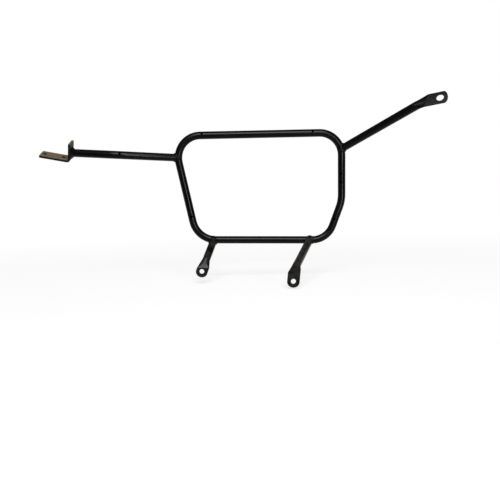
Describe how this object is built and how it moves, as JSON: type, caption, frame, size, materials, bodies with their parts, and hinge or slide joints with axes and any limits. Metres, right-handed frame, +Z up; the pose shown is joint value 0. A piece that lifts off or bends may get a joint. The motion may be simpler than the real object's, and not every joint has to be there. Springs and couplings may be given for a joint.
{
  "type": "pannier frame",
  "caption": "Welded tube side frame for a motorbike pannier: closed bent hoop with stays, legs with pressed drilled ends and a folded rear bracket.",
  "frame": {"origin": "centre of the front eyelet's hole, in the middle of the flat's thickness", "axes": "+X forward along the motorbike, +Y outward from it (left side), +Z up, as the frame is mounted"},
  "size_m": [0.8799, 0.1868, 0.4047],
  "materials": {
    "tube_paint": "satin black powder coat on steel tube",
    "weld_paint": "satin black powder coat over weld beads",
    "bracket_paint": "satin black powder coat on folded steel plate"
  },
  "bodies": {
    "root": {"hoop": "tube_paint", "front_stay": "tube_paint", "front_stay_weld": "weld_paint", "front_leg": "tube_paint", "front_leg_weld": "weld_paint", "rear_leg": "tube_paint", "rear_leg_weld": "weld_paint", "rear_stay": "tube_paint", "rear_stay_weld": "weld_paint", "rear_bracket": "bracket_paint", "bracket_weld": "weld_paint"}
  },
  "joints": []
}
